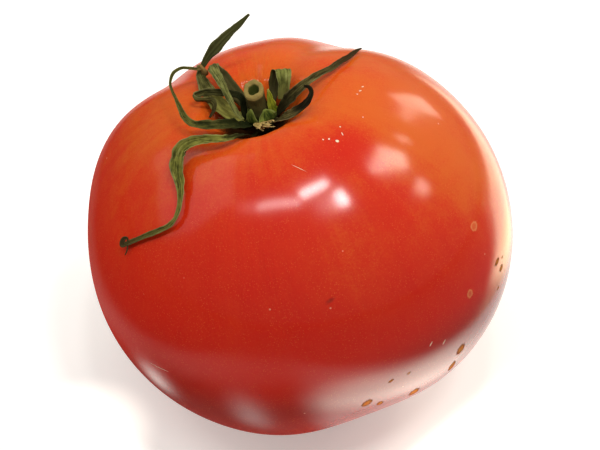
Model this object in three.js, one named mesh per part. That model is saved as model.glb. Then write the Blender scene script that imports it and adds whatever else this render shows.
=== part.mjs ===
// A ripe tomato with the stub of its stem and its dry calyx, resting on its small flat spot.
// Millimetres, +Z up. The origin is the middle of the flat spot, and -Y is the front.
import * as THREE from 'three';

const { degToRad, radToDeg, lerp } = THREE.MathUtils;

// Driving sizes of the fruit, measured along and around its own stem axis.
const FRUIT_RADIUS = 44.7;
const CROWN_HEIGHT = 40.5;
const BOTTOM_DEPTH = 41;
const STEM_CAVITY = { depth: 9, reach: 9.5 };
const STEM_PIT = { depth: 2.4, reach: 8.3, steepness: 6, x: -1.4, y: -1.5 };
const BLOSSOM_DIMPLE = { depth: 1, reach: 6 };

// The stem axis leans to -X. The flat spot is where the floor, at Z = 0, cuts the lowest skin.
const LEAN_DEG = 12.8;
const FRUIT_CENTRE = new THREE.Vector3(3.24, 0, 39.67);

// Grooves (positive depth) and swells (negative depth) of the skin. Bearings turn from +X towards
// the back (+Y), and polar angles count down from the stem. Each fades out over its two spreads.
const LOBES = [
  { bearing: 59, depth: 1.8, spread: 15, polar: 45, fade: 30 },
  { bearing: 139, depth: 1.4, spread: 13, polar: 50, fade: 30 },
  { bearing: 153, depth: -2.8, spread: 20, polar: 75, fade: 45 },
  { bearing: -73, depth: 2, spread: 25, polar: 130, fade: 40 },
  { bearing: -17, depth: -1.1, spread: 42, polar: 105, fade: 45 },
];

// Shallow ribs on the shoulders, all of one form, at these bearings.
const RIB_BEARINGS = [-150, -122, -96, -66, -38, -8, 24, 92, 176];
const RIB = { depth: 0.4, spread: 8, polar: 42, fade: 22 };

// The stub of stem: a peg reaches down into the pit, a flared receptacle sits on it, and the cut end
// is hollow and slants forwards. Heights count from the cavity's floor, as if it had no pit.
const STEM = {
  length: 8.6,
  radius: 1.85,
  rimRadius: 2.1,
  rimRounding: 0.2,
  flareHeight: 6.2,
  hollowRadius: 1.1,
  hollowDepth: 2.6,
  neckHeight: 3.4,
  receptacleRadius: 2.75,
  receptacleHeight: 1.55,
  pegRadius: 1.9,
  pegFootRadius: 1.65,
  cutSlantDeg: 24,
};

// A sepal is a thin strip with a lens-shaped section. Where it lies close to the skin, it settles
// flat onto it, a share of the way at each step, and the share dies away with its height.
const SEPAL_THICKNESS = 0.5;
const SETTLING = { share: 0.4, height: 1 };
const SEPAL_SIDES = 8;
const STEPS_PER_STATION = 3;

// Clear space kept between the stem and the skin under it.
const SEAT_GAP = 0.3;

// How often the search for the skin under a point is repeated.
const SKIN_PASSES = 4;

// How finely the fruit and the stem are faceted.
const FRUIT_FACETS = { around: 56, down: 40, poleCrowding: 0.2 };
const STEM_FACETS = 20;

const ROUGHNESS = { skin: 0.3, stem: 0.85, sepal: 0.9 };
const COLOURS = {
  skin: 0xc23a20,
  stem: 0x8f7d42,
  green: 0x6d6a2c,
  olive: 0x54501f,
  brown: 0x4a3618,
  tan: 0xa88a4c,
};

// One point of a sepal's middle line: how far out from the stem axis, on which bearing, how high
// above the bowl it spreads over, how wide the strip is there, and how far it has twisted.
function at(reach, bearingDeg, lift, width, twistDeg = 0) {
  return { reach, bearing: degToRad(bearingDeg), lift, width, twist: degToRad(twistDeg) };
}

// Each sepal from its base at the receptacle to its tip.
const SEPALS = {
  sepal_front_trailing: {
    colour: COLOURS.green,
    stations: [
      at(3.3, -112, -0.6, 1.0), at(5.5, -107, -1.4, 1.2), at(8.4, -103, -1.0, 1.4),
      at(11.0, -102, 0.6, 1.5, -10), at(13.0, -108, 1.3, 1.7, -30), at(14.7, -115, 2.0, 2.0, -40),
      at(16.1, -125, 2.6, 2.3, -40), at(18.1, -133, 3.0, 2.6, -40), at(19.7, -136.5, 2.6, 2.9, -40),
      at(21.4, -136, 2.0, 3.2, -40), at(23.0, -133, 1.7, 2.8, -35), at(25.0, -128, 1.5, 1.9, -30),
      at(27.2, -125.5, 1.4, 1.4, -25), at(29.3, -124.5, 1.6, 1.2, -20), at(31.3, -126, 1.6, 1.2, -15),
      at(32.9, -131, 1.4, 1.4, -10), at(34.3, -136, 1.2, 1.3), at(35.9, -141, 1.2, 1.2),
      at(37.0, -144.2, 1.4, 1.1),
    ],
  },
  sepal_left_loop: {
    colour: COLOURS.olive,
    stations: [
      at(3.3, -130, 0.7, 2.0, -10), at(5.3, -127, 1.0, 2.8, -20), at(7.5, -128, 1.5, 3.1, -40),
      at(10.3, -131, 1.9, 3.0, -40), at(12.7, -137, 2.4, 2.5, -40), at(14.6, -145, 3.1, 1.9, -40),
      at(15.1, -153, 3.8, 1.5, -35), at(15.1, -163, 4.4, 1.1, -30), at(15.4, -173, 4.8, 0.9, -20),
      at(16.3, -184, 5.0, 0.8), at(17.1, -192, 5.2, 0.7), at(17.3, -201, 5.3, 0.8), at(16.6, -208, 5.0, 0.8),
      at(15.4, -212, 4.4, 0.8),
    ],
  },
  sepal_back_blade: {
    colour: COLOURS.olive,
    stations: [
      at(3.3, 172, 0.9, 1.6), at(4.5, 178, 0.9, 3.0), at(6.1, 180, 1.0, 4.4), at(7.8, 173, 1.1, 4.6),
      at(10.4, 159, 1.1, 3.8), at(12.6, 148.5, 1.3, 2.9), at(14.9, 141, 1.8, 1.7), at(14.9, 137, 3.0, 1.0),
      at(13.8, 132.5, 5.0, 1.6), at(12.4, 127.5, 7.0, 2.4), at(11.2, 120, 9.0, 2.4), at(10.4, 108, 11.0, 1.8),
      at(9.9, 93.6, 13.0, 1.2), at(9.8, 80, 15.0, 0.5),
    ],
  },
  sepal_folded: {
    colour: COLOURS.green,
    stations: [
      at(3.3, 142, 0.9, 1.2), at(4.1, 139, 1.5, 2.0, -15), at(6.1, 136, 1.9, 2.8, -25),
      at(9.1, 132.5, 2.0, 3.0, -25), at(11.5, 132, 2.4, 2.9, -30), at(12.8, 132.5, 3.4, 2.8, -45),
      at(10.9, 138, 4.7, 2.4, -75), at(8.5, 147, 5.6, 2.0, -77), at(6.5, 161.5, 6.2, 1.7, -77),
      at(5.4, 180.5, 6.2, 1.4, -77), at(5.0, 203, 5.4, 1.2, -77), at(5.3, 225, 3.9, 1.0, -75),
      at(6.1, 244, 3.0, 0.6, -70),
    ],
  },
  sepal_side_curl: {
    colour: COLOURS.olive,
    stations: [
      at(3.3, -162, 0.9, 1.0, -20), at(3.2, -172, 2.3, 1.5, -40), at(3.2, 170, 3.6, 1.6, -40),
      at(3.4, 157, 4.7, 1.5, -50), at(4.6, 155, 4.7, 1.5, -60), at(7.4, 158, 3.2, 1.5, -75),
      at(9.9, 164, 2.7, 1.5, -90), at(11.4, 170, 2.7, 1.5, -90), at(12.3, 174, 2.7, 1.5, -90),
      at(11.9, 179, 2.7, 1.6, -90), at(10.6, 179, 2.7, 1.6, -95), at(9.2, 177, 2.7, 1.5, -115),
      at(8.5, 182, 2.6, 1.2, -140), at(8.9, 193, 2.1, 0.8, -165), at(10.2, 204, 1.6, 0.5, -175),
    ],
  },
  sepal_back_hoop: {
    colour: COLOURS.green,
    stations: [
      at(3.3, 52, 1.2, 1.2, 18), at(5.2, 58, 1.3, 2.0, 22), at(7.0, 59, 2.0, 2.6, 28),
      at(8.1, 55, 3.1, 3.0, 42), at(8.1, 44, 3.9, 3.2, 86), at(7.3, 36, 3.7, 2.9, 98),
      at(6.6, 31, 2.8, 2.1, 98), at(5.8, 27, 2.0, 2.1, 101), at(5.1, 21, 1.3, 1.8, 108),
    ],
  },
  sepal_right_trailing: {
    colour: COLOURS.brown,
    stations: [
      at(3.3, -18, 0.9, 1.3, 10), at(4.8, -7, 1.5, 2.6, 30), at(6.7, -4, 2.0, 2.8, 40),
      at(8.8, -3, 2.4, 2.4, 40), at(10.6, 0, 2.5, 1.9, 40), at(12.4, 4, 2.4, 1.7, 40),
      at(14.1, 9, 2.0, 1.5, 40), at(16.2, 14, 1.6, 1.4, 40), at(18.6, 21, 1.4, 1.3, 35),
      at(21, 26, 1.3, 1.2, 30), at(23.7, 32, 1.2, 1.0, 20), at(26.1, 36, 1.3, 0.5),
    ],
  },
  sepal_right_curl: {
    colour: COLOURS.brown,
    stations: [
      at(3.3, -44, 0.7, 1.6), at(5.6, -48, 0.7, 2.4), at(8.2, -50, 1.1, 2.7, 15), at(10.4, -48, 1.4, 2.5, 35),
      at(11.7, -42, 1.8, 2.2, 45), at(12.9, -36, 2.4, 1.7, 45), at(13.4, -30, 3.1, 1.4, 45),
      at(13.4, -25, 3.7, 1.1, 35), at(12.5, -21, 4.2, 0.8, 20), at(11.4, -20, 4.5, 0.5),
    ],
  },
  sepal_inner: {
    colour: COLOURS.green,
    stations: [
      at(3.4, 8, 0.9, 1.2), at(2.95, 0, 2.2, 2.0), at(2.8, -2, 3.6, 2.2), at(2.75, 4, 5.4, 1.6),
      at(2.75, 10, 6.9, 0.6),
    ],
  },
  sepal_torn: {
    colour: COLOURS.tan,
    stations: [
      at(3.3, -84, 0.9, 1.2), at(4.6, -82, 1.4, 2.0, 20), at(6.1, -80, 1.8, 2.7, 40),
      at(7.4, -78, 1.9, 2.9, 50),
    ],
  },
};

// Depth of one groove or swell at a polar angle and bearing, both in degrees.
function dentOf(form, polarDeg, bearingDeg) {
  const aside = THREE.MathUtils.euclideanModulo(bearingDeg - form.bearing + 180, 360) - 180;
  const along = polarDeg - form.polar;
  return form.depth * Math.exp(-((aside / form.spread) ** 2)) * Math.exp(-((along / form.fade) ** 2));
}

// How far the skin lies inside the plain round form, from all its lobes and ribs.
function dentAt(polar, bearing) {
  const ribs = RIB_BEARINGS.map((ribBearing) => ({ ...RIB, bearing: ribBearing }));
  let dent = 0;
  for (const form of [...LOBES, ...ribs]) {
    dent += dentOf(form, radToDeg(polar), radToDeg(bearing));
  }
  return dent;
}

// How deep the steep-sided pit in the stem cavity's floor is at a reach and bearing.
function pitAt(reach, bearing) {
  const aside = Math.hypot(reach * Math.cos(bearing) - STEM_PIT.x, reach * Math.sin(bearing) - STEM_PIT.y);
  return STEM_PIT.depth * Math.exp(-((aside / STEM_PIT.reach) ** STEM_PIT.steepness));
}

// A point of the skin, seen from the fruit's centre with the stem axis up, with or without the pit.
function skinPoint(polar, bearing, pitted = true) {
  const reach = FRUIT_RADIUS * Math.sin(polar);
  const dent = dentAt(polar, bearing);
  const spread = reach - dent * Math.sin(polar);
  const upper = polar < Math.PI / 2;
  const span = upper ? CROWN_HEIGHT : BOTTOM_DEPTH;
  const hollow = upper ? STEM_CAVITY : BLOSSOM_DIMPLE;
  const inward = hollow.depth * Math.exp(-((reach / hollow.reach) ** 2));
  const pit = upper && pitted ? pitAt(reach, bearing) : 0;
  const height = (span - dent) * Math.cos(polar) - (upper ? inward + pit : -inward);
  return new THREE.Vector3(spread * Math.cos(bearing), spread * Math.sin(bearing), height);
}

// Height of the bowl that the calyx spreads over, at a reach and bearing: the upper skin without its
// pit. The lobes shift the skin sideways a little, so the polar angle is found in a few passes.
function skinHeight(reach, bearing) {
  let polar = 0;
  for (let pass = 0; pass < SKIN_PASSES; pass += 1) {
    polar = Math.asin((reach + dentAt(polar, bearing) * Math.sin(polar)) / FRUIT_RADIUS);
  }
  return skinPoint(polar, bearing, false).z;
}

// Outward direction of that bowl at a reach and bearing.
function skinNormal(reach, bearing) {
  const step = 0.2;
  const slope = (skinHeight(reach + step, bearing) - skinHeight(reach - step, bearing)) / (2 * step);
  const normal = new THREE.Vector3(-slope * Math.cos(bearing), -slope * Math.sin(bearing), 1);
  return normal.normalize();
}

// Moves every vertex of a geometry to the place that a function gives for it.
function reshape(geometry, place) {
  const positions = geometry.attributes.position;
  const vertex = new THREE.Vector3();
  for (let i = 0; i < positions.count; i += 1) {
    vertex.fromBufferAttribute(positions, i);
    const moved = place(vertex);
    positions.setXYZ(i, moved.x, moved.y, moved.z);
  }
  geometry.computeVertexNormals();
  return geometry;
}

function namedMesh(name, geometry, colour, roughness) {
  const material = new THREE.MeshStandardMaterial({ color: colour, roughness, metalness: 0 });
  const mesh = new THREE.Mesh(geometry, material);
  mesh.name = name;
  return mesh;
}

// The group that leans with the stem axis and carries the stem and the sepals.
function makeLeaningGroup() {
  const group = new THREE.Group();
  group.position.copy(FRUIT_CENTRE);
  group.rotation.y = -degToRad(LEAN_DEG);
  group.updateMatrixWorld();
  return group;
}

// The fruit: a round form with its cavity, dimple, lobes and ribs, leaned over and pressed flat
// where it would reach below the floor. Its facets crowd towards the stem and the blossom end.
function makeFruit(leaning) {
  const { around, down, poleCrowding } = FRUIT_FACETS;
  const geometry = new THREE.SphereGeometry(1, around, down);
  geometry.rotateX(Math.PI / 2);
  reshape(geometry, (vertex) => {
    const even = Math.atan2(Math.hypot(vertex.x, vertex.y), vertex.z);
    const polar = even - poleCrowding * Math.sin(2 * even);
    const point = skinPoint(polar, Math.atan2(vertex.y, vertex.x)).applyMatrix4(leaning.matrixWorld);
    point.z = Math.max(point.z, 0);
    return point;
  });
  return namedMesh('fruit', geometry, COLOURS.skin, ROUGHNESS.skin);
}

// The stub of stem, turned about its axis and then slanted towards its cut end.
function makeStem() {
  const { length, radius, rimRadius, rimRounding, flareHeight } = STEM;
  const { hollowRadius, hollowDepth, neckHeight, receptacleRadius, receptacleHeight } = STEM;
  const profile = [
    [0, SEAT_GAP - STEM_PIT.depth],
    [STEM.pegFootRadius, 2 * SEAT_GAP - STEM_PIT.depth],
    [STEM.pegRadius, 0],
    [receptacleRadius, receptacleHeight - SEAT_GAP],
    [receptacleRadius, receptacleHeight],
    [lerp(receptacleRadius, radius, 2 / 3), lerp(receptacleHeight, neckHeight, 2 / 5)],
    [radius, neckHeight],
    [radius, flareHeight],
    [rimRadius, length - 3 * rimRounding],
    [rimRadius - rimRounding / 2, length - rimRounding / 2],
    [rimRadius - 2 * rimRounding, length],
    [hollowRadius + rimRounding / 2, length - rimRounding / 2],
    [hollowRadius, length - 2 * rimRounding],
    [hollowRadius - rimRounding, length - 0.8 * hollowDepth],
    [0, length - hollowDepth],
  ].map(([x, y]) => new THREE.Vector2(x, y));
  const geometry = new THREE.LatheGeometry(profile, STEM_FACETS);
  geometry.rotateX(Math.PI / 2);
  const seat = CROWN_HEIGHT - STEM_CAVITY.depth;
  const slant = Math.tan(degToRad(STEM.cutSlantDeg));
  reshape(geometry, ({ x, y, z }) => {
    const slanted = slant * y * (Math.max(z - STEM.length / 2, 0) / (STEM.length / 2));
    return new THREE.Vector3(x, y, seat + z + slanted);
  });
  return namedMesh('stem', geometry, COLOURS.stem, ROUGHNESS.stem);
}

// The frame of a strip at every step: its middle, its side and face directions, and its width. The
// face starts along the skin's outward direction, is carried along the line and settles near skin.
function stripFrames(stations, steps) {
  const points = stations.map(({ reach, bearing, lift }) => (
    new THREE.Vector3(reach * Math.cos(bearing), reach * Math.sin(bearing), skinHeight(reach, bearing) + lift)
  ));
  const line = new THREE.CatmullRomCurve3(points, false, 'catmullrom', 0.5);
  const carried = skinNormal(stations[0].reach, stations[0].bearing);
  const frames = [];
  for (let step = 0; step <= steps; step += 1) {
    const place = (step / steps) * (stations.length - 1);
    const before = stations[Math.min(Math.floor(place), stations.length - 2)];
    const after = stations[stations.indexOf(before) + 1];
    const share = place - stations.indexOf(before);
    const middle = line.getPoint(step / steps);
    const along = line.getTangent(step / steps);
    const bearing = Math.atan2(middle.y, middle.x);
    const reach = Math.hypot(middle.x, middle.y);
    const height = middle.z - skinHeight(reach, bearing);
    carried.lerp(skinNormal(reach, bearing), SETTLING.share * Math.exp(-height / SETTLING.height));
    carried.addScaledVector(along, -carried.dot(along)).normalize();
    const face = carried.clone().applyAxisAngle(along, lerp(before.twist, after.twist, share));
    frames.push({
      middle,
      side: along.clone().cross(face),
      face,
      width: lerp(before.width, after.width, share),
    });
  }
  return frames;
}

// One sepal: a round bar drawn out along the strip's frames, wide across and thin through.
function makeSepal(name, { colour, stations }) {
  const steps = STEPS_PER_STATION * (stations.length - 1);
  const frames = stripFrames(stations, steps);
  const geometry = new THREE.CylinderGeometry(1, 1, 1, SEPAL_SIDES, steps);
  reshape(geometry, ({ x, y, z }) => {
    const { middle, side, face, width } = frames[Math.round((y + 0.5) * steps)];
    const point = middle.clone();
    point.addScaledVector(side, (x * width) / 2);
    return point.addScaledVector(face, (z * SEPAL_THICKNESS) / 2);
  });
  return namedMesh(name, geometry, colour, ROUGHNESS.sepal);
}

const tomato = new THREE.Group();
const leaning = makeLeaningGroup();
tomato.add(makeFruit(leaning), leaning);
leaning.add(makeStem());
for (const [name, sepal] of Object.entries(SEPALS)) {
  leaning.add(makeSepal(name, sepal));
}

export default tomato;
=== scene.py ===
"""The looks of a ripe tomato: skin, cut stem, dry calyx, a pale floor, soft light and a camera."""
import logging
import math
from dataclasses import dataclass, field
from enum import Enum

import bpy
import numpy as np
from mathutils import Matrix, Quaternion, Vector, noise


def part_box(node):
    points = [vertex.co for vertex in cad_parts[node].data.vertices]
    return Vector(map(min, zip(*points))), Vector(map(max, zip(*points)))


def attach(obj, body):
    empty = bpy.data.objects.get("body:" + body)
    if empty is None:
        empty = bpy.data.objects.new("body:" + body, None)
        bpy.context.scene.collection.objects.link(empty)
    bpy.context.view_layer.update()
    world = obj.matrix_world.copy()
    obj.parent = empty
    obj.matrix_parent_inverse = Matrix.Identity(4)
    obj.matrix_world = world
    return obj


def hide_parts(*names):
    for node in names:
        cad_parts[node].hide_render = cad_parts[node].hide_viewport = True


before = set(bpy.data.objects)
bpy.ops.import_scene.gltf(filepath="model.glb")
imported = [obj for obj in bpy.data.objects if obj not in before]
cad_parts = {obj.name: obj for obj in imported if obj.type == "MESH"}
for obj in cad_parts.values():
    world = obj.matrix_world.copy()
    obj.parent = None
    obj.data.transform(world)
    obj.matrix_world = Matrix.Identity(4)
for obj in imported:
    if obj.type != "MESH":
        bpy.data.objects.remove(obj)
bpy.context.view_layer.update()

LOG = logging.getLogger("tomato")
BODY = "root"
MM = 0.001

Colour = tuple[float, float, float, float]
Point = tuple[float, float, float]
Pair = tuple[float, float]


def rgb(red: float, green: float, blue: float) -> Colour:
    """Return a linear colour with full alpha."""
    return (red, green, blue, 1.0)


def ramp(value: np.ndarray | float, low: float, high: float) -> np.ndarray | float:
    """Return 0 below low, 1 above high and a smooth rise between them."""
    share = np.clip((value - low) / (high - low), 0.0, 1.0)
    return share * share * (3.0 - 2.0 * share)


def bell(value: np.ndarray | float, middle: float, width: float) -> np.ndarray | float:
    """Return 1 at the middle, falling away smoothly over the width."""
    return np.exp(-(((value - middle) / width) ** 2))


def turned(bearing: np.ndarray | float, start: float) -> np.ndarray | float:
    """Return how far bearings lie past a start, from -180 to 180 degrees."""
    return (bearing - start + 180.0) % 360.0 - 180.0


class Signal:
    """A node's output socket that takes part in Python expressions."""

    def __init__(self, graph: "Graph", socket: bpy.types.NodeSocket) -> None:
        """Keep the graph that the socket belongs to, and the socket."""
        self.graph = graph
        self.socket = socket

    def math(self, operation: str, first: "Signal | float", second: "Signal | float") -> "Signal":
        """Return a Math node of two values."""
        return self.graph.node("ShaderNodeMath", {"operation": operation}, {0: first, 1: second})

    def __add__(self, other: "Signal | float") -> "Signal":
        """Return the sum."""
        return self.math("ADD", self, other)

    __radd__ = __add__

    def __sub__(self, other: "Signal | float") -> "Signal":
        """Return the difference."""
        return self.math("SUBTRACT", self, other)

    def __rsub__(self, other: "Signal | float") -> "Signal":
        """Return the difference, turned round."""
        return self.math("SUBTRACT", other, self)

    def __mul__(self, other: "Signal | float") -> "Signal":
        """Return the product."""
        return self.math("MULTIPLY", self, other)

    __rmul__ = __mul__

    def most(self, other: "Signal | float") -> "Signal":
        """Return the larger of two values."""
        return self.math("MAXIMUM", self, other)

    def least(self, other: "Signal | float") -> "Signal":
        """Return the smaller of two values."""
        return self.math("MINIMUM", self, other)

    def swing(self, size: float) -> "Signal":
        """Return noise from 0 to 1 as a swing about 0, times a size."""
        return (self - 0.5) * size

    def rise(self, low: float, high: float) -> "Signal":
        """Return 0 below low and 1 above high, smoothly; with low above high it falls instead."""
        limits = {"Value": self, "From Min": low, "From Max": high}
        return self.graph.node("ShaderNodeMapRange", {"interpolation_type": "SMOOTHSTEP"}, limits)


class Graph:
    """The node tree of one material, ending in one Principled surface."""

    def __init__(self, name: str) -> None:
        """Make an empty material.

        Args:
            name: Its name.
        """
        self.material = bpy.data.materials.new(name)
        self.material.use_nodes = True
        self.tree = self.material.node_tree

    def feed(self, node: bpy.types.Node, inputs: dict) -> None:
        """Set or link a node's input sockets.

        Args:
            node: The node.
            inputs: Socket name or number to a value or a Signal.
        """
        for key, value in inputs.items():
            if isinstance(value, Signal):
                self.tree.links.new(value.socket, node.inputs[key])
            else:
                node.inputs[key].default_value = value

    def node(
        self, kind: str, settings: dict | None = None, inputs: dict | None = None, out: int | str = 0
    ) -> Signal:
        """Add a node.

        Args:
            kind: Its type.
            settings: Its properties, set first.
            inputs: Its socket values or links.
            out: Which output to return.

        Returns:
            The chosen output.
        """
        made = self.tree.nodes.new(kind)
        for key, value in (settings or {}).items():
            setattr(made, key, value)
        self.feed(made, inputs or {})
        return Signal(self, made.outputs[out])

    def attribute(self, name: str) -> Signal:
        """Return a vector that the mesh carries on its points."""
        return self.node("ShaderNodeAttribute", {"attribute_name": name}, out="Vector")

    def parts(self, vector: Signal) -> tuple[Signal, Signal, Signal]:
        """Return the three numbers of a vector."""
        first = self.node("ShaderNodeSeparateXYZ", inputs={0: vector})
        return tuple(Signal(self, socket) for socket in first.socket.node.outputs)

    def vector(self, operation: str, one: Signal, two: Point, out: str = "Vector") -> Signal:
        """Return a Vector Math node of a vector and three fixed numbers."""
        return self.node("ShaderNodeVectorMath", {"operation": operation}, {0: one, 1: two}, out)

    def scaled(self, vector: Signal, factors: Point) -> Signal:
        """Return a vector multiplied by three factors."""
        return self.vector("MULTIPLY", vector, factors)

    def distance(self, vector: Signal, point: Point = (0.0, 0.0, 0.0)) -> Signal:
        """Return how far a vector is from a fixed point."""
        return self.vector("DISTANCE", vector, point, "Value")

    def mix(self, share: Signal | float, first: Signal | Colour, second: Signal | Colour) -> Signal:
        """Return the first colour, going over to the second as the share grows."""
        return self.node("ShaderNodeMix", {"data_type": "RGBA"}, {0: share, 6: first, 7: second}, 2)

    def cloud(self, vector: Signal, scale: float, detail: float = 2.0, rough: float = 0.5) -> Signal:
        """Return soft noise from 0 to 1."""
        inputs = {"Vector": vector, "Scale": scale, "Detail": detail, "Roughness": rough}
        return self.node("ShaderNodeTexNoise", inputs=inputs)

    def cells(self, vector: Signal, scale: float, out: str = "Distance") -> Signal:
        """Return the distance to the nearest of many scattered points, or that point's own colour."""
        return self.node("ShaderNodeTexVoronoi", inputs={"Vector": vector, "Scale": scale}, out=out)

    def bump(self, height: Signal, distance: float) -> Signal:
        """Return a normal that follows a height, which counts in steps of a distance in metres."""
        return self.node("ShaderNodeBump", inputs={"Strength": 1.0, "Distance": distance, "Height": height})

    def surface(self, inputs: dict) -> bpy.types.Material:
        """Set the Principled surface's sockets and return the finished material."""
        self.feed(self.tree.nodes["Principled BSDF"], inputs)
        return self.material


@dataclass(frozen=True)
class Patch:
    """A soft oval patch of skin: its bearing, what it adds, its spread, polar angle and fade, in degrees."""

    bearing: float
    amount: float
    spread: float
    polar: float
    fade: float

    def at(self, polar: np.ndarray, bearing: np.ndarray) -> np.ndarray:
        """Return what it adds at polar angles and bearings in degrees."""
        aside = turned(bearing, self.bearing)
        return self.amount * bell(aside, 0.0, self.spread) * bell(polar, self.polar, self.fade)


# Grooves and ribs draw the skin in by these mm, and swells, which are negative, push it out
LOBES = (
    Patch(59.0, 1.8, 15.0, 45.0, 30.0),
    Patch(139.0, 1.4, 13.0, 50.0, 30.0),
    Patch(153.0, -2.8, 20.0, 75.0, 45.0),
    Patch(-73.0, 2.0, 25.0, 130.0, 40.0),
    Patch(-17.0, -1.1, 42.0, 105.0, 45.0),
)
RIB_BEARINGS = (-150.0, -122.0, -96.0, -66.0, -38.0, -8.0, 24.0, 92.0, 176.0)
RIBS = tuple(Patch(bearing, 0.15, 8.0, 42.0, 22.0) for bearing in RIB_BEARINGS)


@dataclass(frozen=True)
class FruitForm:
    """The fruit's form about its own stem axis, in mm, and its place in the frame.

    Bearings turn from +X towards the back, and polar angles count down from the stem.
    """

    radius: float = 44.7
    crown: float = 40.5
    bottom: float = 41.0
    cavity_depth: float = 9.0
    cavity_reach: float = 9.5
    pit_depth: float = 2.4
    pit_reach: float = 8.3
    pit_steepness: float = 6.0
    pit_middle: Pair = (-1.4, -1.5)
    dimple_depth: float = 1.0
    dimple_reach: float = 6.0
    lean: float = 12.8
    dents: tuple[Patch, ...] = LOBES + RIBS
    passes: int = 4
    slope_step: float = 0.2
    samples: int = 361

    @property
    def seat(self) -> float:
        """Height of the cavity's floor on the stem axis."""
        return self.crown - self.cavity_depth

    def dent(self, polar: np.ndarray, bearing: np.ndarray) -> np.ndarray:
        """Return how far all lobes and ribs draw the skin in, at angles in radians."""
        angles = (np.degrees(polar), np.degrees(bearing))
        return sum(form.at(*angles) for form in self.dents)

    def pit_share(self, reach: np.ndarray, bearing: np.ndarray) -> np.ndarray:
        """Find how far inside the cavity's steep pit points are.

        Args:
            reach: Distances from the stem axis, in mm.
            bearing: Angles about it, in radians.

        Returns:
            1 on the pit's floor and 0 outside its lip.
        """
        x, y = reach * np.cos(bearing), reach * np.sin(bearing)
        aside = np.hypot(x - self.pit_middle[0], y - self.pit_middle[1])
        return np.exp(-((aside / self.pit_reach) ** self.pit_steepness))

    def skin(self, polar: np.ndarray, bearing: np.ndarray, pitted: bool = True) -> np.ndarray:
        """Return points of the skin, seen from the fruit's centre with the stem axis up.

        Args:
            polar: Angles from the stem axis, in radians.
            bearing: Angles about it, in radians.
            pitted: Whether the cavity's floor drops into its steep pit.

        Returns:
            An array of points with x, y and z last.
        """
        reach = self.radius * np.sin(polar)
        dent = self.dent(polar, bearing)
        spread = reach - dent * np.sin(polar)
        upper = polar < math.pi / 2
        span = np.where(upper, self.crown, self.bottom)
        cavity = self.cavity_depth * bell(reach, 0.0, self.cavity_reach)
        if pitted:
            cavity = cavity + self.pit_depth * self.pit_share(reach, bearing)
        dimple = self.dimple_depth * bell(reach, 0.0, self.dimple_reach)
        height = (span - dent) * np.cos(polar) - np.where(upper, cavity, -dimple)
        return np.stack([spread * np.cos(bearing), spread * np.sin(bearing), height], -1)

    def polar_at(self, reach: float, bearing: float) -> float:
        """Find the polar angle of the upper skin, in a few passes.

        Args:
            reach: Distance from the stem axis, in mm.
            bearing: Angle about it, in radians.

        Returns:
            The angle from the stem axis, in radians.
        """
        polar = 0.0
        for _ in range(self.passes):
            polar = math.asin((reach + float(self.dent(polar, bearing)) * math.sin(polar)) / self.radius)
        return polar

    def height(self, reach: float, bearing: float) -> float:
        """Return the height of the bowl that the calyx spreads over, which is the skin without its pit."""
        return float(self.skin(self.polar_at(reach, bearing), bearing, pitted=False)[2])

    def normal(self, reach: float, bearing: float) -> Vector:
        """Find that bowl's outward direction.

        Args:
            reach: Distance from the stem axis, in mm.
            bearing: Angle about it, in radians.

        Returns:
            The direction, of length 1.
        """
        step = self.slope_step
        slope = (self.height(reach + step, bearing) - self.height(reach - step, bearing)) / (2.0 * step)
        return Vector((-slope * math.cos(bearing), -slope * math.sin(bearing), 1.0)).normalized()

    def placed(self) -> Matrix:
        """Find the fruit's place: its highest skin and its two sides are those of the CAD fruit.

        Returns:
            The matrix from the fruit's own axes, in mm, to the frame, in metres.
        """
        turn = Matrix.Rotation(-math.radians(self.lean), 4, "Y")
        down, around = np.linspace(0.0, math.pi, self.samples), np.linspace(-math.pi, math.pi, self.samples)
        polar, bearing = np.meshgrid(down, around)
        points = self.skin(polar, bearing).reshape(-1, 3) @ np.array(turn.to_3x3()).T * MM
        low, high = (np.array(corner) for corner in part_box("fruit"))
        middle = (low + high) / 2.0 - (points.min(0) + points.max(0)) / 2.0
        shift = Vector((middle[0], middle[1], high[2] - points[:, 2].max()))
        return Matrix.Translation(shift) @ turn @ Matrix.Scale(MM, 4)


FORM = FruitForm()
PLACED = FORM.placed()


def to_frame(points: np.ndarray) -> np.ndarray:
    """Return points given about the stem axis, in mm, in the frame, in metres."""
    matrix = np.array(PLACED)
    return points @ matrix[:3, :3].T + matrix[:3, 3]


def make_piece(name: str, points: np.ndarray, faces: list[tuple[int, ...]]) -> bpy.types.Object:
    """Make a smooth mesh object.

    Args:
        name: The piece's name.
        points: Its vertices about the stem axis, in mm.
        faces: Its faces, as vertex numbers.

    Returns:
        The new object.
    """
    mesh = bpy.data.meshes.new(name)
    mesh.from_pydata(to_frame(points).tolist(), [], faces)
    mesh.polygons.foreach_set("use_smooth", [True] * len(mesh.polygons))
    mesh.update()
    piece = bpy.data.objects.new(name, mesh)
    bpy.context.collection.objects.link(piece)
    return piece


def carry(piece: bpy.types.Object, name: str, values: np.ndarray) -> None:
    """Store a vector on every point of a piece, for its material to read."""
    layer = piece.data.attributes.new(name, "FLOAT_VECTOR", "POINT")
    layer.data.foreach_set("vector", np.asarray(values, dtype=np.float32).ravel())


def ring_faces(rings: int, around: int, first: int = 0) -> list[tuple[int, ...]]:
    """Return the faces between rings of points that follow one another.

    Args:
        rings: How many rings there are.
        around: How many points each has.
        first: The number of the first ring's first point.

    Returns:
        The faces, as point numbers.
    """
    faces = []
    for one in range(first, first + (rings - 1) * around, around):
        two = one + around
        for spot in range(around):
            beside = (spot + 1) % around
            faces.append((one + spot, two + spot, two + beside, one + beside))
    return faces


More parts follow.
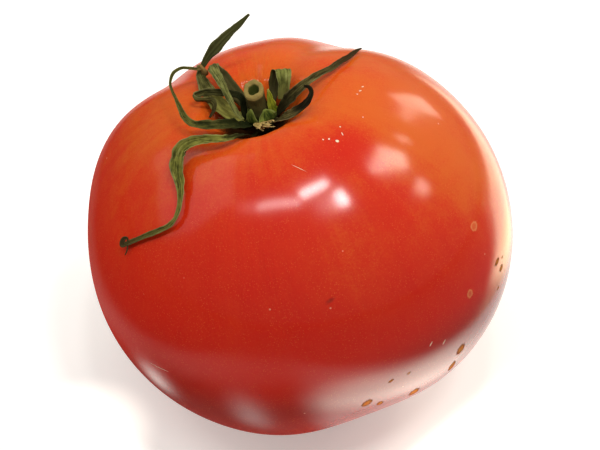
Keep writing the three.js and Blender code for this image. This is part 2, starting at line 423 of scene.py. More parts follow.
def tube_faces(rings: int, around: int) -> list[tuple[int, ...]]:
    """Join rings of points to a closed tube with a cap on each end.

    Args:
        rings: How many rings there are.
        around: How many points each has.

    Returns:
        The faces, as point numbers.
    """
    last = (rings - 1) * around
    caps = [tuple(range(around)), tuple(range(last + around - 1, last - 1, -1))]
    return ring_faces(rings, around) + caps


def hand_in(piece: bpy.types.Object, material: bpy.types.Material, slot: str, *nodes: str) -> None:
    """Dress a piece, let it ride on the body and hide the CAD nodes that it stands for.

    Args:
        piece: The piece.
        material: Its finish.
        slot: The name of its material slot, which is logged.
        nodes: The CAD nodes that it replaces, if any.
    """
    piece.data.materials.append(material)
    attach(piece, BODY)
    if nodes:
        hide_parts(*nodes)
    LOG.info("%s: %d points, %s", piece.name, len(piece.data.vertices), slot)


class Blemish(Enum):
    """The kinds of mark on the skin."""

    CORK = "brown corky spot"
    SCAR = "orange healed scar"
    FLAKE = "pale dry flake"
    CREASE = "dark crease"


@dataclass(frozen=True)
class Mark:
    """An oval mark on the skin: its place in degrees, its length and width in mm and its slant in degrees.

    The length runs down from the stem, and the slant turns it about the skin's outward direction.
    """

    kind: Blemish
    polar: float
    bearing: float
    length: float
    width: float
    slant: float = 0.0
    thickness: float = 8.0

    def distance(self, graph: Graph, place: Signal) -> Signal:
        """Return how far a point is from the mark's middle: 1 on its edge.

        Args:
            graph: The material's graph.
            place: The point on the skin, in mm about the stem axis.

        Returns:
            The distance, as a share of the mark's size.
        """
        polar, bearing, step = math.radians(self.polar), math.radians(self.bearing), 0.01
        middle = Vector(FORM.skin(polar, bearing))
        down = (Vector(FORM.skin(polar + step, bearing)) - middle).normalized()
        aside = (Vector(FORM.skin(polar, bearing + step)) - middle).normalized()
        outward = down.cross(aside).normalized()
        down = Quaternion(outward, math.radians(self.slant)) @ down
        axes = Matrix((down, outward.cross(down), outward)).transposed()
        local = graph.node("ShaderNodeMapping", {"vector_type": "TEXTURE"}, {
            "Vector": place,
            "Location": middle,
            "Rotation": axes.to_euler(),
            "Scale": (self.length / 2.0, self.width / 2.0, self.thickness / 2.0),
        })
        return graph.distance(local)


def marks(kind: Blemish, *rows: tuple[float, ...]) -> tuple[Mark, ...]:
    """Return marks of a kind from rows of polar angle, bearing, length, width and, for some, slant."""
    return tuple(Mark(kind, *row) for row in rows)


MARKS = (
    *marks(
        Blemish.CORK,
        (106.9, -43.4, 3.6, 2.5), (118.7, -58.3, 4.8, 2.4), (109.8, -73.9, 3.5, 2.2, -25.0),
        (114.5, -70.0, 2.6, 1.5), (101.3, -66.3, 0.8, 1.4, 35.0), (101.6, -61.0, 0.6, 0.9, 35.0),
        (114.8, -45.3, 4.5, 1.9), (89.5, -24.5, 1.3, 2.2), (93.5, -23.0, 1.4, 2.0),
        (98.5, -25.9, 0.7, 1.2), (91.1, -21.3, 0.5, 0.9), (104.0, 140.0, 2.4, 1.8),
        (121.0, 96.0, 1.6, 1.4),
    ),
    *marks(
        Blemish.SCAR,
        (73.3, -27.2, 1.9, 2.4), (87.9, -38.3, 1.9, 1.8), (82.0, 168.0, 2.2, 1.6),
    ),
    *marks(
        Blemish.FLAKE,
        (29.2, -43.1, 0.8, 0.6, 20.0), (27.0, -34.6, 0.35, 0.3), (28.7, -37.7, 0.8, 0.25, -30.0),
        (27.3, -45.3, 0.4, 0.4), (26.4, -48.0, 0.35, 0.3), (27.9, -2.7, 0.7, 0.3, 40.0),
        (28.6, 1.2, 0.55, 0.28, 40.0), (27.2, -6.0, 0.35, 0.3), (30.5, -21.8, 0.3, 0.35),
        (94.0, -53.6, 0.3, 1.3, 50.0), (96.8, -49.6, 0.3, 1.3, 50.0), (29.8, -68.5, 0.10, 3.2, -53.0),
        (88.4, -129.6, 0.13, 6.0),
    ),
    *marks(
        Blemish.CREASE,
        (65.8, -75.6, 0.9, 2.2, 15.0), (100.4, -116.3, 0.9, 0.5), (92.2, -100.4, 0.5, 0.4),
    ),
)


@dataclass(frozen=True)
class Blush:
    """A broad patch of skin, in degrees, that is riper (positive) or less ripe (negative) than the rest."""

    polar: float
    bearing: float
    spread: float
    amount: float

    def at(self, polar: np.ndarray, bearing: np.ndarray) -> np.ndarray:
        """Return how much it adds to the ripeness, at polar angles and bearings in degrees."""
        aside = turned(bearing, self.bearing) * np.sin(np.radians(polar))
        return self.amount * bell(np.hypot(aside, polar - self.polar), 0.0, self.spread)


BLUSHES = (
    Blush(32.0, -42.0, 8.0, 0.65),
    Blush(45.0, -95.0, 12.0, 0.20),
    Blush(34.0, -74.0, 12.0, 0.22),
    Blush(50.0, -46.0, 7.0, 0.30),
    Blush(86.0, -126.0, 16.0, 0.20),
    Blush(63.0, -15.0, 13.0, -0.25),
    Blush(60.0, -72.0, 13.0, -0.14),
    Blush(24.0, 20.0, 12.0, 0.26),
    Blush(30.0, -170.0, 10.0, -0.12),
    Blush(70.0, 120.0, 16.0, 0.20),
    Blush(50.0, 70.0, 12.0, 0.18),
)


@dataclass(frozen=True)
class SkinFinish:
    """The waxy skin: orange shoulders, deep red below, painted shade on the underside, fine golden specks and
    a few blemishes.
    """

    shoulder: Colour = rgb(0.68, 0.112, 0.011)
    middle: Colour = rgb(0.64, 0.031, 0.006)
    below: Colour = rgb(0.61, 0.016, 0.005)
    # Painted shade: the underside's colour is darkened as if it were in shadow.
    underside: Colour = rgb(0.26, 0.009, 0.004)
    gold: Colour = rgb(0.82, 0.19, 0.040)
    pale: Colour = rgb(0.88, 0.42, 0.24)
    cork_middle: Colour = rgb(0.52, 0.17, 0.032)
    cork_edge: Colour = rgb(0.22, 0.055, 0.014)
    scar: Colour = rgb(0.74, 0.22, 0.07)
    flake: Colour = rgb(0.90, 0.70, 0.50)
    crease: Colour = rgb(0.16, 0.010, 0.008)
    # Partly a real corky brown ring round the stem and partly painted shade in the cavity's pit.
    stain_and_pit_shade: Colour = rgb(0.035, 0.014, 0.004)
    coat_roughness: float = 0.15
    streak_scale: Point = (14.0, 14.0, 1.6)
    mottle_scale: float = 0.085
    patch_scale: float = 0.28
    grain_scale: float = 2.4
    speck_scale: float = 3.0
    pin_scale: float = 0.2
    dimple_scale: float = 0.33
    outline_scale: float = 1.7
    relief: float = 0.00006
    marks: tuple[Mark, ...] = MARKS

    def nearest(self, graph: Graph, place: Signal, kind: Blemish, uneven: Signal) -> Signal:
        """Return the share of the distance to the nearest mark of a kind, made uneven.

        Args:
            graph: The material's graph.
            place: The point on the skin, in mm about the stem axis.
            kind: Which marks to look at.
            uneven: Noise that roughens the marks' outlines.

        Returns:
            The distance: below 1 inside a mark.
        """
        chosen = [mark.distance(graph, place) for mark in self.marks if mark.kind is kind]
        near = chosen[0]
        for other in chosen[1:]:
            near = near.least(other)
        return near + uneven.swing(0.7)

    def material(self) -> bpy.types.Material:
        """Make the skin's material from its tint, its marks and noise of several sizes.

        Returns:
            The finished material.
        """
        graph = Graph("tomato_skin")
        place = graph.attribute("place")
        ripeness_and_shade, wax, pit = graph.parts(graph.attribute("tint"))
        streaks = graph.cloud(graph.scaled(graph.attribute("meridian"), self.streak_scale), 1.0, 3.0, 0.6)
        mottle = graph.cloud(place, self.mottle_scale, 4.0, 0.6)
        grain = graph.cloud(place, self.grain_scale, 2.0)
        patches = graph.cloud(place, self.patch_scale, 3.0, 0.6)
        ripe = ripeness_and_shade + streaks.swing(0.32) + mottle.swing(0.65) + patches.swing(0.36) + grain.swing(0.42)
        colour = graph.mix(ripe.rise(-0.05, 0.7), self.shoulder, self.middle)
        colour = graph.mix(ripe.rise(0.45, 1.1), colour, self.below)
        # Painted shade: values above 1 darken the underside towards the underside colour.
        colour = graph.mix(ripeness_and_shade.rise(0.95, 1.75), colour, self.underside)
        chance, _, _ = graph.parts(graph.cells(place, self.speck_scale, "Color"))
        specks = graph.cells(place, self.speck_scale).rise(0.5, 0.1) * chance.rise(0.2, 1.0)
        colour = graph.mix(specks * (0.1 + patches.rise(0.35, 0.65) * 0.24), colour, self.gold)
        rare, _, _ = graph.parts(graph.cells(place, self.pin_scale, "Color"))
        pins = graph.cells(place, self.pin_scale).rise(0.05, 0.025) * rare.rise(0.4, 0.65)
        colour = graph.mix(pins * 0.55, colour, self.pale)
        uneven = graph.cloud(place, self.outline_scale, 2.0)
        cork_near = self.nearest(graph, place, Blemish.CORK, uneven)
        cork = cork_near.rise(1.1, 0.85)
        scar_near = self.nearest(graph, place, Blemish.SCAR, uneven)
        scar = scar_near.rise(1.15, 0.85) * (0.35 + scar_near.rise(0.35, 0.8) * 0.5)
        flake = self.nearest(graph, place, Blemish.FLAKE, uneven).rise(1.1, 0.8)
        crease = self.nearest(graph, place, Blemish.CREASE, uneven).rise(1.4, 0.0)
        colour = graph.mix(scar, colour, self.scar)
        colour = graph.mix(crease * 0.6, colour, self.crease)
        colour = graph.mix(flake, colour, self.flake)
        crust = graph.mix(cork_near.rise(0.95, 0.3), self.cork_edge, self.cork_middle)
        colour = graph.mix(cork, colour, crust)
        # Partly a real corky ring and partly painted shade: the cavity's pit is darkened.
        colour = graph.mix((pit + uneven.swing(0.3)).rise(0.35, 0.95), colour, self.stain_and_pit_shade)
        dry = cork.most(flake)
        dimples = graph.cloud(place, self.dimple_scale, 2.0)
        height = dimples * 1.7 + grain * 0.65 + specks * 0.3 + streaks * 3.0
        height = height + dry * 2.5 + scar * 0.8 - crease * 2.0
        return graph.surface({
            "Base Color": colour,
            "Roughness": 0.36 + dry * 0.4,
            "Specular IOR Level": 0.0,
            "Subsurface Weight": 0.18,
            "Subsurface Radius": (1.0, 0.22, 0.08),
            "Subsurface Scale": 0.0016,
            "Coat Weight": wax * (1.0 - dry * 0.95),
            "Coat Roughness": self.coat_roughness,
            "Normal": graph.bump(height, self.relief),
        })


@dataclass(frozen=True)
class Side:
    """One side of the fruit: its bearing, its spread in degrees and how much it counts."""

    bearing: float
    spread: float
    amount: float

    def at(self, bearing: np.ndarray) -> np.ndarray:
        """Return how much it counts at bearings in degrees."""
        return self.amount * bell(turned(bearing, self.bearing), 0.0, self.spread)


@dataclass
class Fruit:
    """The fruit: its finely shaped skin, with the cavity's puckers and a slight unevenness.

    Pairs of numbers say where something starts and where it is full: a polar angle or bearing in degrees, or
    a reach from the stem axis in mm. A shoulder's amount is how many degrees further down its orange reaches.
    The skin is waxier below, except on its plain side.
    """

    around: int = 336
    down: int = 216
    pole_crowding: float = 0.2
    pucker_depth: float = 0.10
    pucker_count: int = 17
    pucker_wander: float = 1.3
    pucker_ring: Pair = (7.0, 4.5)
    uneven_depth: float = 0.07
    uneven_size: float = 17.0
    uneven_reach: Pair = (9.0, 20.0)
    open_reach: Pair = (6.0, 13.0)
    shoulders: tuple[Side, ...] = (Side(14.0, 62.0, 52.0), Side(180.0, 35.0, 14.0))
    ripening: Pair = (-18.0, 82.0)
    # Where the painted shade on the underside starts and is full, as polar angles.
    underside_shade: Pair = (79.0, 118.0)
    blushes: tuple[Blush, ...] = BLUSHES
    usual_wax: float = 0.80
    dull_left: Patch = Patch(180.0, 0.75, 82.0, 70.0, 55.0)
    below_wax: float = 0.20
    below: Pair = (72.0, 96.0)
    plain_side: Side = Side(180.0, 70.0, 1.0)
    rubbed_share: float = 0.85
    rubbed_bearing: float = -135.0
    rubbed_front: Pair = (52.0, 41.0)
    rubbed_back: Pair = (-125.0, -45.0)
    rubbed_below: Pair = (78.0, 92.0)
    polished: tuple[Patch, ...] = (Patch(-105.5, 1.0, 4.5, 101.0, 9.0), Patch(-133.0, 1.0, 5.0, 95.0, 6.0))
    finish: SkinFinish = field(default_factory=SkinFinish)

    def shape(self) -> tuple[np.ndarray, np.ndarray, np.ndarray]:
        """Shape the skin, with its puckers and its slight unevenness.

        Returns:
            Its points about the stem axis, in mm, with their polar angles and bearings, in radians.
        """
        even = np.linspace(0.0, math.pi, self.down + 1)[1:-1]
        rings = even - self.pole_crowding * np.sin(2.0 * even)
        turns = np.arange(self.around) * (2.0 * math.pi / self.around) - math.pi
        polar, bearing = np.meshgrid(rings, turns, indexing="ij")
        polar = np.concatenate([polar.ravel(), [0.0, math.pi]])
        bearing = np.concatenate([bearing.ravel(), [0.0, 0.0]])
        points = FORM.skin(polar, bearing)
        reach = np.hypot(points[:, 0], points[:, 1])
        upper = polar < math.pi / 2
        wander = self.pucker_wander * np.sin(3.0 * bearing)
        fold = np.sin(self.pucker_count * bearing + wander) * bell(reach, *self.pucker_ring) * upper
        points[:, 2] -= self.pucker_depth * fold
        lengths = np.linalg.norm(points, axis=1, keepdims=True)
        waves = np.array([noise.noise(Vector(point) / self.uneven_size) for point in points])
        waves *= self.uneven_depth * ramp(reach, *self.uneven_reach)
        points += points / lengths * waves[:, None]
        return points, polar, bearing

    def faces(self) -> list[tuple[int, ...]]:
        """Join the skin's rings, closed at the stem and the blossom end.

        Returns:
            The faces, as point numbers.
        """
        rings = self.down - 1
        stem, blossom = rings * self.around, rings * self.around + 1
        last = (rings - 1) * self.around
        faces = ring_faces(rings, self.around)
        for spot in range(self.around):
            beside = (spot + 1) % self.around
            faces.append((stem, spot, beside))
            faces.append((blossom, last + beside, last + spot))
        return faces

    def ripeness_and_shade(self, polar: np.ndarray, bearing: np.ndarray) -> np.ndarray:
        """Find how ripe the skin is, with painted shade added on the underside.

        Args:
            polar: Angles from the stem axis, in radians.
            bearing: Angles about it, in radians.

        Returns:
            0 on the orange shoulders, 1 on the deep red below them and 2 where painted shade darkens the
            underside.
        """
        angle, turn = np.degrees(polar), np.degrees(bearing)
        lowered = sum(side.at(turn) for side in self.shoulders)
        # The second ramp adds the painted shade on the underside.
        ripe = ramp(angle - lowered, *self.ripening) + ramp(angle, *self.underside_shade)
        return ripe + sum(blush.at(angle, turn) for blush in self.blushes)

    def wax(self, polar: np.ndarray, bearing: np.ndarray) -> np.ndarray:
        """Find how waxy the skin is: most on the lower right, least on the left and lower front left.

        Args:
            polar: Angles from the stem axis, in radians.
            bearing: Angles about it, in radians.

        Returns:
            The weight of the waxy coat.
        """
        angle, turn = np.degrees(polar), np.degrees(bearing)
        below = ramp(angle, *self.below) * (1.0 - self.plain_side.at(turn))
        aside = turned(turn, self.rubbed_bearing)
        rubbed = ramp(aside, *self.rubbed_front) * ramp(aside, *self.rubbed_back)
        rubbed = rubbed * ramp(angle, *self.rubbed_below)
        polished = sum(patch.at(angle, turn) for patch in self.polished)
        wax = self.usual_wax - self.dull_left.at(angle, turn) + self.below_wax * below
        return wax * (1.0 - self.rubbed_share * rubbed) + polished * rubbed

    def build(self) -> bpy.types.Object:
        """Build and dress the fruit.

        Returns:
            The new object.
        """
        points, polar, bearing = self.shape()
        piece = make_piece("tomato_fruit", points, self.faces())
        heights = np.empty(len(points) * 3)
        piece.data.vertices.foreach_get("co", heights)
        heights = heights.reshape(-1, 3)
        heights[:, 2] = np.maximum(heights[:, 2], 0.0)
        piece.data.vertices.foreach_set("co", heights.ravel())
        piece.data.update()
        tint = np.zeros((len(points), 3))
        tint[:, 0] = self.ripeness_and_shade(polar, bearing)
        reach = np.hypot(points[:, 0], points[:, 1])
        upper = polar < math.pi / 2
        sheltered = (1.0 - ramp(reach, *self.open_reach)) * upper
        tint[:, 1] = self.wax(polar, bearing) * (1.0 - sheltered)
        # The third value darkens the pit: partly a real corky ring, partly painted shade.
        tint[:, 2] = FORM.pit_share(reach, bearing) * upper
        carry(piece, "tint", tint)
        carry(piece, "place", points)
        carry(piece, "meridian", np.stack([np.cos(bearing), np.sin(bearing), polar], -1))
        hand_in(piece, self.finish.material(), "skin", "fruit")
        return piece


@dataclass(frozen=True)
class StripFinish:
    """A dry leaf strip: its shaded and lit colours, its pale ridges, its dark base, partly withered and
    partly painted shade where it lies deep in the cavity or folds back into shadow, and its withered tip.

    The base's colour goes over to the blade's, and the blade's to the tip's, over shares of the length.
    """

    name: str
    slot: str
    shade: Colour
    blade: Colour
    ridge: Colour
    base: Colour
    base_ends: Pair
    tip: Colour
    tip_starts: Pair
    vein_scale: Point = (3.2, 0.0, 0.22)
    blotch_scale: Point = (0.8, 0.0, 0.5)
    fibre_scale: Point = (11.0, 0.0, 0.9)
    relief: float = 0.00014

    def material(self) -> bpy.types.Material:
        """Make the strip's material: lengthwise veins, blotches, a withered tip and a fine grain.

        Returns:
            The finished material.
        """
        graph = Graph(self.name)
        strip = graph.attribute("strip")
        across, along, _ = graph.parts(strip)
        veins = graph.cloud(graph.scaled(strip, self.vein_scale), 1.0, 3.0, 0.65)
        blotch = graph.cloud(graph.scaled(strip, self.blotch_scale), 1.0, 3.0, 0.6)
        lit = (veins * 0.6 + blotch * 0.4).rise(0.40, 0.60)
        edge = (across * across).rise(0.6, 1.0)
        colour = graph.mix(lit, self.shade, self.blade)
        colour = graph.mix((veins.rise(0.55, 0.75) * 0.6).most(edge * 0.35), colour, self.ridge)
        wander = along + blotch.swing(0.2)
        # Painted shade in part: the base is darkened where the strip lies deep in the cavity or folds back
        # into shadow.
        base = graph.mix(lit * 0.55 + 0.45, self.shade, self.base)
        colour = graph.mix(wander.rise(*self.base_ends), base, colour)
        colour = graph.mix(wander.rise(*self.tip_starts) * (1.0 - lit * 0.12), colour, self.tip)
        fibres = graph.cloud(graph.scaled(strip, self.fibre_scale), 1.0, 2.0)
        return graph.surface({
            "Base Color": colour,
            "Roughness": 0.9 - veins * 0.2,
            "Specular IOR Level": 0.04,
            "Normal": graph.bump(veins + fibres * 0.5, self.relief),
        })


TRAILING = StripFinish("trailing_sepal", "dry_sepal", rgb(0.050, 0.050, 0.010), rgb(0.225, 0.220, 0.040),
                       rgb(0.42, 0.37, 0.15), rgb(0.010, 0.009, 0.003), (0.17, 0.25),
                       rgb(0.066, 0.045, 0.018), (0.50, 0.78))
LOOPED = StripFinish("looped_sepal", "dry_sepal", rgb(0.022, 0.025, 0.006), rgb(0.130, 0.120, 0.024),
                     rgb(0.30, 0.26, 0.09), rgb(0.016, 0.022, 0.006), (0.08, 0.30),
                     rgb(0.30, 0.175, 0.055), (0.55, 0.80))
BLADE = StripFinish("blade_sepal", "dry_sepal", rgb(0.040, 0.038, 0.010), rgb(0.165, 0.152, 0.042),
                    rgb(0.36, 0.33, 0.14), rgb(0.29, 0.27, 0.055), (0.22, 0.42),
                    rgb(0.095, 0.098, 0.032), (0.50, 0.62))
FOLDED = StripFinish("folded_sepal", "dry_sepal", rgb(0.050, 0.052, 0.014), rgb(0.200, 0.200, 0.055),
                     rgb(0.42, 0.42, 0.18), rgb(0.085, 0.070, 0.024), (0.34, 0.50),
                     rgb(0.16, 0.16, 0.045), (0.85, 1.2))
CURL = StripFinish("side_curl_sepal", "dry_sepal", rgb(0.024, 0.022, 0.006), rgb(0.140, 0.125, 0.034),
                   rgb(0.36, 0.32, 0.13), rgb(0.010, 0.013, 0.004), (0.30, 0.60),
                   rgb(0.030, 0.022, 0.007), (0.80, 0.95))
HOOP = StripFinish("hoop_sepal", "dry_sepal", rgb(0.060, 0.064, 0.014), rgb(0.210, 0.220, 0.050),
                   rgb(0.42, 0.42, 0.17), rgb(0.048, 0.038, 0.015), (0.42, 0.54),
                   rgb(0.13, 0.12, 0.030), (0.70, 0.95))
DARK = StripFinish("dark_sepal", "dark_sepal", rgb(0.024, 0.019, 0.006), rgb(0.115, 0.096, 0.028),
                   rgb(0.40, 0.34, 0.15), rgb(0.010, 0.008, 0.003), (0.14, 0.42),
                   rgb(0.045, 0.026, 0.009), (0.50, 0.85))
CURLED = StripFinish("curled_sepal", "dark_sepal", rgb(0.030, 0.023, 0.007), rgb(0.130, 0.100, 0.030),
                     rgb(0.42, 0.34, 0.15), rgb(0.020, 0.014, 0.005), (0.08, 0.30),
                     rgb(0.008, 0.006, 0.003), (0.38, 0.55))
FRESH = StripFinish("fresh_sepal", "fresh_sepal", rgb(0.105, 0.130, 0.008), rgb(0.300, 0.320, 0.022),
                    rgb(0.52, 0.50, 0.12), rgb(0.09, 0.12, 0.012), (0.10, 0.40),
                    rgb(0.40, 0.36, 0.08), (0.85, 1.1))
LOBE = StripFinish("receptacle_lobe", "stem", rgb(0.028, 0.046, 0.007), rgb(0.155, 0.190, 0.030),
                   rgb(0.36, 0.39, 0.12), rgb(0.012, 0.020, 0.004), (0.20, 0.55),
                   rgb(0.24, 0.28, 0.06), (0.8, 1.1))
TORN = StripFinish("torn_sepal", "torn_sepal", rgb(0.20, 0.12, 0.028), rgb(0.58, 0.40, 0.115),
                   rgb(0.84, 0.64, 0.27), rgb(0.12, 0.075, 0.02), (0.12, 0.45),
                   rgb(0.72, 0.53, 0.20), (0.6, 1.0))


@dataclass(frozen=True)
class Station:
    """One point of a sepal's middle line.

    How far out from the stem axis it is, its bearing, its height above the skin, the strip's width there and
    how far the strip has twisted, in mm and degrees.
    """

    reach: float
    bearing: float
    lift: float
    width: float
    twist: float = 0.0

    def point(self) -> Vector:
        """Find the station's place about the stem axis.

        Returns:
            The point, in mm.
        """
        turn = math.radians(self.bearing)
        height = FORM.height(self.reach, turn) + self.lift
        return Vector((self.reach * math.cos(turn), self.reach * math.sin(turn), height))


def stations(*rows: tuple[float, ...]) -> tuple[Station, ...]:
    """Return stations from rows of reach, bearing, lift, width and, where there is one, twist."""
    return tuple(Station(*row) for row in rows)


@dataclass(frozen=True)
class Ring:
    """A strip's frame at one step: its middle, side and face directions, width and share of the length."""

    middle: Vector
    side: Vector
    face: Vector
    width: float
    along: float
    run: float


class Section(Enum):
    """How a strip's section is shaped: how far its edges bend, in radians from the middle."""

    FLAT = 0.25
    CUPPED = 0.75
    CHANNEL = 1.15
    ROLLED = -0.9


@dataclass(frozen=True)
class Sepal:
    """One dry sepal: a thin veined strip along its stations, cupped, wavy and frayed at its edges."""

    name: str
    finish: StripFinish
    stations: tuple[Station, ...]
    section: Section = Section.CUPPED
    thickness: float = 0.34
    ripple: float = 0.16
    ripple_pace: float = 0.8
    frayed: float = 0.16
    fray_pace: float = 0.55
    unevenly_bent: float = 0.35
    bend_pace: float = 0.35
    thin_edge: float = 0.65
    rib_height: float = 0.035
    ribs_across: float = 9.0
    steps_per_station: int = 9
    points_across: int = 13
    settle_share: float = 1.2
    settle_height: float = 1.0

    def line(self, place: float) -> Vector:
        """Follow the middle line, an even Catmull-Rom curve through the stations.

        Args:
            place: How far along, counted in stations.

        Returns:
            The point there, in mm about the stem axis.
        """
        points = [station.point() for station in self.stations]
        last = len(points) - 1
        first = min(int(place), last - 1)
        share = place - first
        before = points[first - 1] if first > 0 else 2.0 * points[0] - points[1]
        after = points[first + 2] if first + 2 <= last else 2.0 * points[last] - points[last - 1]
        start, end = points[first], points[first + 1]
        leave, arrive = (end - before) * 0.5, (after - start) * 0.5
        square, cube = share * share, share ** 3
        bend = (end - start) * 3.0 - leave * 2.0 - arrive
        return start + leave * share + bend * square + ((start - end) * 2.0 + leave + arrive) * cube

    def rings(self) -> list[Ring]:
        """Carry the strip's frame along the line, where it settles flat near the skin.

        Returns:
            The frames, from the base to the tip.
        """
        last = len(self.stations) - 1
        steps = self.steps_per_station * last
        places = [step / self.steps_per_station for step in range(steps + 1)]
        middles = [self.line(place) for place in places]
        first = self.stations[0]
        carried = FORM.normal(first.reach, math.radians(first.bearing))
        settle = self.settle_share / self.steps_per_station
        rings = []
        run = 0.0
        for step, (place, middle) in enumerate(zip(places, middles)):
            along = (middles[min(step + 1, steps)] - middles[max(step - 1, 0)]).normalized()
            reach, bearing = math.hypot(middle.x, middle.y), math.atan2(middle.y, middle.x)
            height = middle.z - FORM.height(reach, bearing)
            settled = settle * math.exp(-height / self.settle_height)
            carried = carried.lerp(FORM.normal(reach, bearing), settled)
            carried = (carried - along * carried.dot(along)).normalized()
            before = min(int(place), last - 1)
            one, two = self.stations[before], self.stations[before + 1]
            share = place - before
            twist = math.radians(one.twist + (two.twist - one.twist) * share)
            face = Quaternion(along, twist) @ carried
            if step:
                run += (middle - middles[step - 1]).length
            width = one.width + (two.width - one.width) * share
            rings.append(Ring(middle, along.cross(face), face, width, place / last, run))
        return rings

    def outline(self, ring: Ring) -> list[tuple[Vector, float]]:
        """Shape one ring of the strip's skin.

        Args:
            ring: The strip's frame there.

        Returns:
            The ring's points, and how far across each one is.
        """
        seed = 7.3 * len(self.name) + self.stations[0].bearing
        ragged = noise.noise(Vector((seed, ring.run * self.fray_pace, 0.0)))
        width = ring.width * (1.0 + self.frayed * ragged)
        slack = noise.noise(Vector((seed, 4.0, ring.run * self.bend_pace)))
        bend = self.section.value * (1.0 + self.unevenly_bent * slack)
        thickness = self.thickness * min(1.0, 0.35 + ring.width / 2.0)
        upper, lower = [], []
        for across in np.linspace(-1.0, 1.0, self.points_across):
            turn = bend * across
            aside = math.sin(turn) / bend * width / 2.0
            rise = (1.0 - math.cos(turn)) / bend * width / 2.0 - 0.25 * abs(bend) * width / 4.0
            wave = noise.noise(Vector((seed + 2.0 * np.sign(across), ring.run * self.ripple_pace, 9.0)))
            rise += self.ripple * ring.width * across * across * wave
            rise += self.rib_height * math.cos(across * self.ribs_across) * min(ring.width, 2.0)
            half = 0.5 * thickness * (1.0 - self.thin_edge * across * across)
            up = ring.face * math.cos(turn) - ring.side * math.sin(turn)
            base = ring.middle + ring.side * aside + ring.face * rise
            upper.append((base + up * half, across))
            lower.append((base - up * half, across))
        return upper + lower[::-1]

    def shape(self) -> tuple[list[Point], list[Point], list[tuple[int, ...]]]:
        """Shape the whole strip.

        Returns:
            Its points, what each point carries for the finish, and its faces.
        """
        rings = self.rings()
        points, strip = [], []
        for ring in rings:
            for point, across in self.outline(ring):
                points.append(tuple(point))
                strip.append((across, ring.along, ring.run))
        return points, strip, tube_faces(len(rings), 2 * self.points_across)

    def build(self) -> bpy.types.Object:
        """Build and dress the sepal.

        Returns:
            The new object.
        """
        points, strip, faces = self.shape()
        piece = make_piece(f"tomato_{self.name}", np.array(points), faces)
        carry(piece, "strip", np.array(strip))
        hand_in(piece, self.finish.material(), self.finish.slot, self.name)
        return piece


